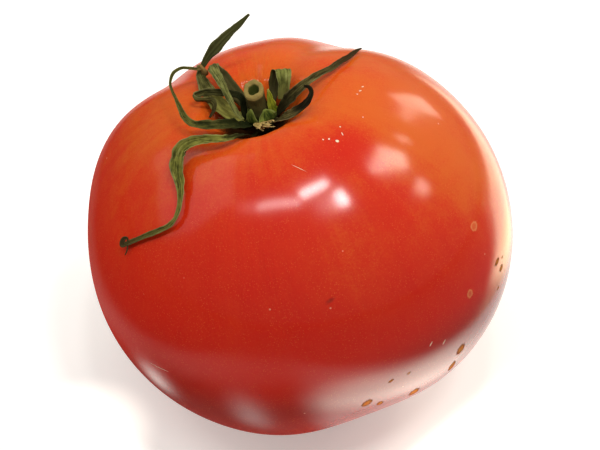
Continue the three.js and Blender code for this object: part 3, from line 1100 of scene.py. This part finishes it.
SEPALS = (
    Sepal("sepal_front_trailing", TRAILING, stations(
        (2.0, -114, 0.2, 0.9), (3.3, -112, -0.6, 1.0), (5.5, -107, -1.4, 1.2), (8.4, -103, -1.0, 1.4),
        (11.0, -102, 0.6, 1.5, -10), (13.0, -108, 1.3, 1.7, -30), (14.7, -115, 2.0, 2.0, -40),
        (16.1, -125, 2.6, 2.5, -40), (18.1, -133, 3.0, 3.2, -40), (19.7, -136.5, 2.6, 3.9, -40),
        (21.4, -136, 2.0, 4.3, -40), (23.0, -133, 1.7, 3.7, -35), (25.0, -128, 1.5, 2.4, -30),
        (27.2, -125.5, 1.4, 1.4, -25), (29.3, -124.5, 1.6, 1.2, -20), (31.3, -126, 1.6, 1.2, -15),
        (32.9, -131, 1.4, 1.4, -10), (34.3, -136, 1.2, 1.3), (35.9, -141, 1.2, 1.2),
        (36.9, -144.0, 1.3, 1.2), (37.2, -144.8, 1.6, 1.2), (36.9, -144.8, 2.0, 1.1),
        (36.4, -144.0, 2.1, 1.0), (36.1, -143.2, 1.7, 0.7), (36.5, -142.7, 1.4, 0.4),
        (37.3, -142.2, 1.2, 0.35), (37.9, -142.8, 1.0, 0.25),
    ), Section.CHANNEL),
    Sepal("sepal_left_loop", LOOPED, stations(
        (2.0, -136, 0.9, 1.6), (3.3, -130, 0.7, 2.2, -10), (5.3, -127, 1.0, 2.8, -20),
        (7.5, -128, 1.5, 3.1, -40), (10.3, -131, 1.9, 3.0, -40), (12.7, -137, 2.4, 2.5, -40),
        (14.6, -145, 3.1, 1.9, -40), (15.1, -153, 3.8, 1.5, -35), (15.1, -163, 4.4, 1.1, -30),
        (15.4, -173, 4.8, 0.9, -20), (16.3, -184, 5.0, 0.8), (17.1, -192, 5.2, 0.7),
        (17.3, -201, 5.3, 0.8), (16.6, -208, 5.0, 0.8), (15.4, -212, 4.4, 0.8), (14.6, -216, 3.7, 0.9),
        (14.5, -219.0, 3.5, 1.3), (15.4, -220.5, 2.9, 1.6), (15.5, -221.0, 2.0, 1.7),
        (14.7, -221.0, 1.5, 1.7), (13.9, -220.8, 2.0, 1.7), (14.0, -220.4, 2.9, 1.7),
        (14.8, -220.6, 3.4, 1.6), (15.5, -221.6, 2.8, 1.2), (15.3, -222.4, 2.1, 0.7),
    ), Section.CHANNEL),
    Sepal("sepal_back_blade", BLADE, stations(
        (2.2, 172, 1.0, 1.6), (3.3, 174, 0.9, 2.6), (4.5, 180, 0.9, 4.0), (6.1, 180, 1.0, 5.0),
        (7.8, 173, 1.1, 5.0), (10.4, 159, 1.1, 3.8), (12.6, 148.5, 1.3, 2.9), (14.9, 141, 1.8, 1.7),
        (14.9, 137, 3.0, 1.0), (13.8, 132.5, 5.0, 1.6), (12.4, 127.5, 7.0, 2.4), (11.2, 120, 9.0, 2.4),
        (10.4, 108, 11.0, 1.8), (9.9, 93.6, 13.0, 1.2), (9.8, 80, 15.0, 0.5),
    ), Section.FLAT),
    Sepal("sepal_folded", FOLDED, stations(
        (2.2, 144, 1.2, 1.0), (3.3, 142, 0.9, 1.2), (4.1, 139, 1.5, 2.0, -15), (6.1, 136, 1.9, 2.8, -25),
        (9.1, 132.5, 2.0, 3.0, -25), (11.5, 132, 2.4, 2.9, -30), (12.8, 132.5, 3.4, 2.8, -45),
        (10.9, 138, 4.7, 2.4, -75), (8.5, 147, 5.6, 2.0, -77), (6.5, 161.5, 6.2, 1.7, -77),
        (5.4, 180.5, 6.2, 1.4, -77), (5.0, 203, 5.4, 1.2, -77), (5.3, 225, 3.9, 1.0, -75),
        (6.1, 244, 3.0, 0.6, -70),
    )),
    Sepal("sepal_side_curl", CURL, stations(
        (2.2, -160, 1.2, 0.9), (3.3, -166, 0.9, 1.0, -20), (3.2, -172, 2.3, 1.5, -40),
        (3.2, -190, 3.6, 1.6, -40), (3.4, -203, 4.7, 1.5, -50), (4.6, -205, 4.7, 1.5, -60),
        (7.4, -202, 3.2, 1.5, -75), (9.9, -196, 2.7, 1.5, -90), (11.4, -190, 2.7, 1.5, -90),
        (12.3, -186, 2.7, 1.5, -90), (11.9, -181, 2.7, 1.6, -90), (10.6, -181, 2.7, 1.6, -95),
        (9.2, -183, 2.7, 1.5, -115), (8.5, -178, 2.6, 1.2, -140), (8.9, -167, 2.1, 0.8, -165),
        (10.2, -156, 1.6, 0.5, -175),
    )),
    Sepal("sepal_back_hoop", HOOP, stations(
        (2.2, 50, 1.2, 1.0, 18), (3.3, 52, 1.2, 1.2, 18), (5.2, 58, 1.3, 2.0, 22),
        (7.0, 59, 2.0, 2.6, 28), (8.1, 55, 3.1, 3.0, 42), (8.1, 44, 3.9, 3.2, 86),
        (7.3, 36, 3.7, 2.9, 98), (6.6, 31, 2.8, 2.1, 98), (5.8, 27, 2.0, 2.1, 101),
        (5.1, 21, 1.3, 1.8, 108),
    ), Section.FLAT),
    Sepal("sepal_right_trailing", DARK, stations(
        (2.2, -20, 1.2, 1.1), (3.3, -18, 0.9, 1.3, 10), (4.8, -7, 1.5, 2.6, 30), (6.7, -4, 2.0, 2.8, 40),
        (8.8, -3, 2.4, 2.4, 40), (10.6, 0, 2.5, 1.9, 40), (12.4, 4, 2.4, 1.7, 40),
        (14.1, 9, 2.0, 1.5, 40), (16.2, 14, 1.6, 1.4, 40), (18.6, 21, 1.4, 1.3, 35),
        (21.0, 26, 1.3, 1.2, 30), (23.7, 32, 1.2, 1.0, 20), (26.1, 36, 1.3, 0.5),
    )),
    Sepal("sepal_right_curl", CURLED, stations(
        (2.2, -42, 1.0, 1.2), (3.3, -44, 0.7, 1.6), (5.6, -48, 0.7, 2.4), (8.2, -50, 1.1, 2.7, 15),
        (10.4, -48, 1.4, 2.5, 35), (11.7, -42, 1.8, 2.2, 45), (12.9, -36, 2.4, 1.7, 45),
        (13.4, -30, 3.1, 1.4, 45), (13.4, -25, 3.7, 1.1, 35), (12.5, -21, 4.2, 0.8, 20),
        (11.4, -20, 4.5, 0.5),
    )),
    Sepal("sepal_inner", FRESH, stations(
        (2.4, 4, 1.0, 1.4), (3.4, 2, 0.9, 1.8), (3.0, -6, 2.2, 2.5), (2.85, -6, 3.6, 2.6),
        (2.8, 2, 5.4, 1.9), (2.75, 10, 6.9, 0.6),
    )),
)


def join_strips(name: str, strips: list[Sepal], *nodes: str) -> bpy.types.Object:
    """Build and dress several strips of one finish as one piece.

    Args:
        name: The piece's name.
        strips: The strips.
        nodes: The CAD nodes that the piece replaces, if any.

    Returns:
        The new object.
    """
    points, strip, faces = [], [], []
    for one in strips:
        one_points, one_strip, one_faces = one.shape()
        faces += [tuple(len(points) + spot for spot in face) for face in one_faces]
        points += one_points
        strip += one_strip
    piece = make_piece(f"tomato_{name}", np.array(points), faces)
    carry(piece, "strip", np.array(strip))
    finish = strips[0].finish
    hand_in(piece, finish.material(), finish.slot, *nodes)
    return piece


@dataclass(frozen=True)
class Tuft:
    """The torn sepal: what is left of it is a brush of loose fibres."""

    name: str = "sepal_torn"
    bearing: float = -94.0
    fibres: int = 26
    fan: float = 14.0
    sweep: float = 16.0
    shortest: float = 5.5
    longest: float = 7.5

    def fibre(self, number: int) -> Sepal:
        """Shape one fibre of the brush, with its own length, lift and curl.

        Args:
            number: Which fibre it is.

        Returns:
            The fibre, as a narrow strip.
        """
        share = number / (self.fibres - 1) * 2.0 - 1.0
        wander = noise.noise(Vector((number * 1.7, 3.1, 0.4)))
        other = noise.noise(Vector((number * 2.3, 8.2, 5.0)))
        end = self.shortest + (self.longest - self.shortest) * (0.5 + 0.9 * wander)
        turn = self.bearing + share * self.fan + self.sweep
        lift = 0.6 + 1.5 * other
        return Sepal(self.name, TORN, stations(
            (2.2, self.bearing + share * 8.0, 1.5, 0.6),
            (3.4, self.bearing + share * 12.0, 1.5 + 0.3 * other, 0.8),
            (4.6, self.bearing + share * self.fan + 0.4 * self.sweep, 1.4 + 0.6 * other, 0.7),
            (end - 0.7, turn + 7.0 * other, lift + 0.3, 0.5),
            (end, turn + 15.0 * wander, lift - 0.4 * wander, 0.2),
        ), Section.FLAT, thickness=0.24, steps_per_station=5, points_across=5)

    def build(self) -> bpy.types.Object:
        """Build and dress the brush of fibres as one piece."""
        return join_strips(self.name, [self.fibre(number) for number in range(self.fibres)], self.name)


@dataclass(frozen=True)
class Lobe:
    """One green lobe of the receptacle at the stem's foot: its bearing, height, width and lift."""

    bearing: float
    height: float
    width: float
    lift: float = 0.4

    def strip(self) -> Sepal:
        """Shape the lobe as a short strip that rises beside the stem.

        Returns:
            The strip.
        """
        shares = ((2.0, 0.0, 0.7), (2.9, 0.15, 1.0), (3.0, 0.42, 1.0), (2.7, 0.75, 0.6), (2.35, 1.0, 0.12))
        rows = []
        for reach, share, wide in shares:
            rows.append((reach, self.bearing, self.lift + self.height * share, self.width * wide))
        return Sepal("receptacle_lobes", LOBE, stations(*rows), Section.FLAT)


LOBES_OF_RECEPTACLE = (
    Lobe(-56.0, 3.7, 4.6),
    Lobe(-124.0, 4.4, 2.9),
    Lobe(30.0, 2.4, 2.6),
    Lobe(100.0, 2.8, 3.0),
    Lobe(168.0, 2.4, 2.4),
)


@dataclass(frozen=True)
class StemFinish:
    """The stub of stem: a tan cut rim, a dark body that is partly withered and partly painted shade, a green
    foot and a hollow darkened by painted shade.
    """

    rim: Colour = rgb(0.27, 0.195, 0.055)
    # Partly a withered colour and partly painted shade on the stem's body.
    body: Colour = rgb(0.070, 0.060, 0.016)
    foot: Colour = rgb(0.035, 0.045, 0.008)
    # Painted shade in the hollow, over the stem's own green inside.
    pith_and_hollow_shade: Colour = rgb(0.060, 0.070, 0.010)
    foot_ends: Pair = (1.9, 3.4)
    rim_starts: Pair = (7.7, 8.2)
    fibre_scale: Point = (5.0, 5.0, 0.35)
    relief: float = 0.00018

    def material(self) -> bpy.types.Material:
        """Make the stem's material, coloured by height, with lengthwise fibres.

        Returns:
            The finished material.
        """
        graph = Graph("stem")
        place = graph.attribute("stem")
        _, _, height = graph.parts(place)
        fibres = graph.cloud(graph.scaled(place, self.fibre_scale), 1.0, 3.0, 0.6)
        blotch = graph.cloud(place, 1.1, 2.0)
        wander = blotch.swing(0.9)
        colour = graph.mix((height + wander).rise(*self.foot_ends), self.foot, self.body)
        colour = graph.mix((height + wander * 0.5).rise(*self.rim_starts), colour, self.rim)
        colour = graph.mix(fibres.rise(0.55, 0.8) * 0.25, colour, self.rim)
        inside, _, _ = graph.parts(graph.attribute("inside"))
        # Painted shade: the hollow's inside is darkened.
        colour = graph.mix(inside, colour, self.pith_and_hollow_shade)
        return graph.surface({
            "Base Color": colour,
            "Roughness": 0.9 - fibres * 0.2,
            "Specular IOR Level": 0.12,
            "Normal": graph.bump(fibres, self.relief),
        })


@dataclass
class Stem:
    """The stub of stem: a star-shaped foot, a fluted body and a slanting, hollow, uneven cut."""

    length: float = 8.6
    radius: float = 1.85
    rim_radius: float = 2.1
    hollow_radius: float = 1.1
    hollow_depth: float = 2.6
    foot_radius: float = 2.75
    foot_height: float = 1.55
    waist_radius: float = 2.2
    waist_height: float = 2.3
    neck_height: float = 3.4
    flare_height: float = 6.2
    seat_gap: float = 0.3
    slant: float = 24.0
    flutes: float = 9.0
    flute_depth: float = 0.03
    flute_wander: float = 1.5
    star_points: float = 5.0
    star_depth: float = 0.22
    star_spread: float = 0.9
    star_turn: float = 0.6
    rough_depth: float = 0.07
    rough_around: float = 2.2
    rough_along: float = 0.6
    chip_depth: float = 0.3
    chip_start: float = 6.0
    closing_radius: float = 0.02
    around: int = 72
    rows_between: int = 4
    finish: StemFinish = field(default_factory=StemFinish)

    def profile(self) -> list[tuple[float, float, float]]:
        """Draw the turned outline from the foot to the hollow.

        Returns:
            Rows of radius, height and 1 inside the hollow.
        """
        top = self.length
        corners = [
            (self.closing_radius, self.seat_gap - FORM.pit_depth, 0.0),
            (self.foot_radius * 0.6, 2.0 * self.seat_gap - FORM.pit_depth, 0.0),
            (self.foot_radius * 0.7, 0.0, 0.0),
            (self.foot_radius, self.foot_height - self.seat_gap, 0.0),
            (self.foot_radius, self.foot_height, 0.0),
            (self.waist_radius, self.waist_height, 0.0),
            (self.radius, self.neck_height, 0.0),
            (self.radius, self.flare_height, 0.0),
            (self.rim_radius, top - 0.6, 0.0),
            (self.rim_radius - 0.1, top - 0.1, 0.0),
            (self.rim_radius - 0.4, top, 0.0),
            (self.hollow_radius + 0.1, top - 0.1, 0.0),
            (self.hollow_radius, top - 0.4, 1.0),
            (self.hollow_radius * 0.85, top - 0.8 * self.hollow_depth, 1.0),
            (self.closing_radius, top - self.hollow_depth, 1.0),
        ]
        rows = []
        for one, two in zip(corners, corners[1:]):
            for row in range(self.rows_between):
                share = row / self.rows_between
                rows.append(tuple(a + (b - a) * share for a, b in zip(one, two)))
        return rows + [corners[-1]]

    def build(self) -> bpy.types.Object:
        """Build and dress the stem.

        Returns:
            The new object.
        """
        points, places, insides = [], [], []
        slope = math.tan(math.radians(self.slant))
        top = self.length
        for radius, height, inside in self.profile():
            upper = max(height - top / 2.0, 0.0) / (top / 2.0)
            foot = float(bell(height, self.foot_height, self.star_spread))
            for spot in range(self.around):
                turn = 2.0 * math.pi * spot / self.around
                wander = self.flute_wander * math.sin(2.0 * turn)
                flute = self.flute_depth * math.cos(self.flutes * turn + wander)
                star = self.star_depth * foot * math.cos(self.star_points * turn + self.star_turn)
                around = (math.cos(turn) * self.rough_around, math.sin(turn) * self.rough_around)
                rough = noise.noise(Vector((*around, height * self.rough_along)))
                swell = flute * (1.0 - upper) * (1.0 - inside) + star + self.rough_depth * rough
                reach = radius * (1.0 + swell)
                x, y = reach * math.cos(turn), reach * math.sin(turn)
                cut = float(ramp(height, self.chip_start, top))
                chipped = self.chip_depth * noise.noise(Vector((x, y, 3.0))) * cut
                points.append((x, y, FORM.seat + height + slope * y * upper + chipped))
                places.append((math.cos(turn), math.sin(turn), height))
                insides.append((inside, 0.0, 0.0))
        faces = tube_faces(len(points) // self.around, self.around)
        piece = make_piece("tomato_stem", np.array(points), [face[::-1] for face in faces])
        carry(piece, "stem", np.array(places))
        carry(piece, "inside", np.array(insides))
        hand_in(piece, self.finish.material(), "stem", "stem")
        return piece


WARM: Point = (1.0, 0.90, 0.76)
PALE: Point = (1.0, 0.95, 0.88)


@dataclass(frozen=True)
class Softbox:
    """A soft rectangular light: its place, the height it aims at, its size, power, colour and roll.

    One that isn't mirrored lights the skin without showing in its gloss.
    """

    name: str
    place: Point
    aim: float
    size: Pair
    watts: float
    colour: Point = (1.0, 1.0, 1.0)
    roll: float = 0.0
    mirrored: bool = True

    def build(self) -> bpy.types.Object:
        """Build the light.

        Returns:
            The new object.
        """
        lamp = bpy.data.lights.new(self.name, "AREA")
        lamp.shape = "RECTANGLE"
        lamp.size, lamp.size_y = self.size
        lamp.energy = self.watts
        lamp.color = self.colour
        holder = bpy.data.objects.new(self.name, lamp)
        holder.location = self.place
        look = (Vector((0.0, 0.0, self.aim)) - Vector(self.place)).to_track_quat("-Z", "Y")
        holder.rotation_euler = (look @ Quaternion((0.0, 0.0, 1.0), math.radians(self.roll))).to_euler()
        holder.visible_glossy = self.mirrored
        bpy.context.collection.objects.link(holder)
        return holder


@dataclass(frozen=True)
class Edge:
    """A soft straight edge on the floor, in metres.

    It counts from a zero point along a way, and what it bounds starts and is full at two counts.
    """

    zero: Pair
    way: Pair
    starts: float
    full: float

    def share(self, graph: Graph, place: Signal) -> Signal:
        """Find how far past the edge the floor is.

        Args:
            graph: The floor's graph.
            place: The point on the floor, in metres.

        Returns:
            0 before the edge and 1 past it.
        """
        offset = graph.vector("SUBTRACT", place, (*self.zero, 0.0))
        count = graph.vector("DOT_PRODUCT", offset, (*self.way, 0.0), "Value")
        return count.rise(self.starts, self.full)


@dataclass(frozen=True)
class Pool:
    """A glow on the floor between soft edges, and its colour."""

    colour: Colour
    edges: tuple[Edge, ...]

    def share(self, graph: Graph, place: Signal) -> Signal:
        """Find how far inside the edges the floor is.

        Args:
            graph: The floor's graph.
            place: The point on the floor, in metres.

        Returns:
            1 inside all the edges and 0 outside any of them.
        """
        shares = [edge.share(graph, place) for edge in self.edges]
        inside = shares[0]
        for other in shares[1:]:
            inside = inside * other
        return inside


@dataclass(frozen=True)
class RoundPool:
    """A round glow on the floor: its colour, its middle, and where it ends and is full, in metres."""

    colour: Colour
    middle: Point
    ends: float
    full: float

    def share(self, graph: Graph, place: Signal) -> Signal:
        """Return 1 in the middle and 0 outside."""
        return graph.distance(place, self.middle).rise(self.ends, self.full)


PICTURE_EDGE: Pair = (0.0, -0.026)
LIT_CORNER: Pair = (0.079, -0.011)
BACK_POOL: Pair = (0.106, 0.040)
BESIDE_PICTURE = Edge(PICTURE_EDGE, (1.0, -0.118), 0.072, 0.082)
# Painted light: pools that glow on the floor so that the skin mirrors them.
POOLS = (
    Pool(rgb(0.80, 0.71, 0.53), (
        BESIDE_PICTURE,
        Edge(BACK_POOL, (-0.60, 0.80), -0.042, -0.018),
        Edge(BACK_POOL, (0.80, 0.60), 0.240, 0.150),
        Edge(BACK_POOL, (0.80, 0.60), -0.034, -0.004),
    )),
    Pool(rgb(1.0, 0.94, 0.80), (
        Edge((0.0, 0.0), (0.73, -0.69), 0.036, 0.050),
        Edge((0.0, 0.0), (0.73, -0.69), 0.080, 0.061),
        Edge((0.0, 0.0), (0.69, 0.73), -0.048, -0.020),
        Edge((0.0, 0.0), (0.69, 0.73), 0.046, 0.0),
    )),
    RoundPool(rgb(0.30, 0.28, 0.25), (-0.044, -0.021, 0.0), 0.018, 0.006),
    RoundPool(rgb(0.90, 0.80, 0.48), (*BACK_POOL, 0.0), 0.044, 0.008),
)


@dataclass
class Floor:
    """The pale floor about the fruit, with painted light pools that glow where the skin mirrors them and
    painted shade that darkens it far off.
    """

    radius: float = 2.5
    rings: int = 12
    turns: int = 64
    pale: Colour = rgb(0.90, 0.885, 0.84)
    painted_light_tint: Colour = rgb(0.88, 0.80, 0.60)
    # Painted shade: the floor takes this dark colour away from the lit area.
    painted_shade_grey: Colour = rgb(0.22, 0.22, 0.22)
    dark: Colour = rgb(0.0, 0.0, 0.0)
    faint: Colour = rgb(0.10, 0.10, 0.095)
    glow_strength: float = 3.2
    near_right: Edge = Edge(LIT_CORNER, (0.846, -0.533), 0.012, -0.005)
    far_right: Edge = Edge(LIT_CORNER, (0.447, -0.894), 0.012, -0.005)
    left: Edge = Edge(PICTURE_EDGE, (1.0, 0.118), -0.092, -0.064)
    back: Edge = Edge((0.0, 0.0), (0.0, 1.0), 0.320, 0.150)
    front: Edge = Edge((0.0, 0.0), (0.0, 1.0), -0.180, -0.045)
    pools: tuple[Pool | RoundPool, ...] = POOLS

    def mesh(self) -> bpy.types.Mesh:
        """Make a flat disc of rings that crowd towards the middle.

        Returns:
            The new mesh.
        """
        points = [(0.0, 0.0, 0.0)]
        for radius in np.linspace(0.0, 1.0, self.rings + 1)[1:] ** 2 * self.radius:
            for spot in range(self.turns):
                turn = 2.0 * math.pi * spot / self.turns
                points.append((radius * math.cos(turn), radius * math.sin(turn), 0.0))
        faces = ring_faces(self.rings, self.turns, 1)
        faces += [(0, 1 + spot, 1 + (spot + 1) % self.turns) for spot in range(self.turns)]
        mesh = bpy.data.meshes.new("floor")
        mesh.from_pydata(points, [], faces)
        return mesh

    def material(self) -> bpy.types.Material:
        """Make the floor's material: pale, tinted right of the picture as painted light, darkened far off as
        painted shade, with glowing pools of painted light.

        Returns:
            The finished material.
        """
        graph = Graph("floor")
        place = graph.node("ShaderNodeTexCoord", out="Object")
        lit = self.near_right.share(graph, place).most(self.far_right.share(graph, place))
        for edge in (self.left, self.back, self.front):
            lit = lit * edge.share(graph, place)
        beside = BESIDE_PICTURE.share(graph, place)
        glow = graph.mix(lit * (1.0 - beside), self.dark, self.faint)
        for pool in self.pools:
            glow = graph.mix(pool.share(graph, place), glow, pool.colour)
        return graph.surface({
            # Painted shade off the lit area, and a yellowish tint standing in for light beside the picture.
            "Base Color": graph.mix(lit, self.painted_shade_grey, graph.mix(beside, self.pale, self.painted_light_tint)),
            "Roughness": 0.9,
            "Specular IOR Level": 0.1,
            "Emission Color": glow,
            "Emission Strength": self.glow_strength,
        })

    def build(self) -> bpy.types.Object:
        """Build and dress the floor.

        Returns:
            The new object.
        """
        floor = bpy.data.objects.new("floor", self.mesh())
        bpy.context.collection.objects.link(floor)
        floor.data.materials.append(self.material())
        return floor


@dataclass
class Studio:
    """The pale floor, the soft light and the camera at the photograph's viewing angle."""

    floor: Floor = field(default_factory=Floor)
    sky: Colour = rgb(1.0, 1.0, 1.0)
    sky_strength: float = 0.32
    sensor_width: float = 36.0
    lens: float = 112.8
    elevation: float = 42.0
    distance: float = 0.4
    target: Point = (0.0037, 0.0, 0.0422)
    softboxes: tuple[Softbox, ...] = (
        Softbox("overhead_bar", (-0.22, -0.33, 0.93), 0.06, (0.46, 0.07), 1.6, roll=36.0),
        Softbox("overhead_front", (0.06, -0.23, 0.97), 0.06, (0.11, 0.07), 1.2, roll=25.0),
        Softbox("front_right_top", (0.25, -0.34, 0.95), 0.06, (0.10, 0.15), 2.2),
        Softbox("right_top", (0.61, 0.155, 0.84), 0.05, (0.18, 0.26), 1.95, (1.0, 0.91, 0.79)),
        Softbox("right_low", (0.85, 0.045, 0.655), 0.05, (0.10, 0.12), 0.46, WARM),
        Softbox("back_right_panel", (0.70, 0.92, 0.49), 0.04, (0.20, 0.42), 1.35, (1.0, 0.90, 0.74)),
        Softbox("back_right_strip", (0.65, 0.43, 0.72), 0.04, (0.07, 0.11), 0.17, WARM),
        Softbox("back_right_fill", (0.90, 0.80, 0.70), 0.04, (1.0, 0.9), 3.2, PALE, mirrored=False),
        Softbox("left_fill", (-0.85, 0.15, 0.75), 0.04, (0.9, 0.9), 3.1),
    )

    def make_sky(self) -> None:
        """Fill the world with even white light."""
        world = bpy.data.worlds.new("studio")
        world.use_nodes = True
        ground = world.node_tree.nodes["Background"]
        ground.inputs["Color"].default_value = self.sky
        ground.inputs["Strength"].default_value = self.sky_strength
        bpy.context.scene.world = world

    def make_camera(self) -> None:
        """Build the camera and look at the fruit."""
        lens = bpy.data.cameras.new("camera")
        lens.sensor_width = self.sensor_width
        lens.lens = self.lens
        lens.clip_start = 0.01
        tilt = math.radians(self.elevation)
        back = Vector((0.0, -math.cos(tilt), math.sin(tilt)))
        camera = bpy.data.objects.new("camera", lens)
        camera.location = Vector(self.target) + back * self.distance
        camera.rotation_euler = back.to_track_quat("Z", "Y").to_euler()
        bpy.context.collection.objects.link(camera)
        bpy.context.scene.camera = camera

    def build(self) -> None:
        """Build the floor, the lights and the camera, with plain colour handling."""
        self.floor.build()
        self.make_sky()
        for softbox in self.softboxes:
            softbox.build()
        self.make_camera()
        bpy.context.scene.view_settings.view_transform = "Standard"


def main() -> None:
    """Build the studio, the fruit, its stem and its calyx, and report each piece."""
    logging.basicConfig(level=logging.INFO, format="%(name)s: %(message)s")
    Studio().build()
    Fruit().build()
    Stem().build()
    for sepal in SEPALS:
        sepal.build()
    Tuft().build()
    join_strips("receptacle_lobes", [lobe.strip() for lobe in LOBES_OF_RECEPTACLE])
    bpy.context.view_layer.update()


if __name__ == "__main__":
    main()
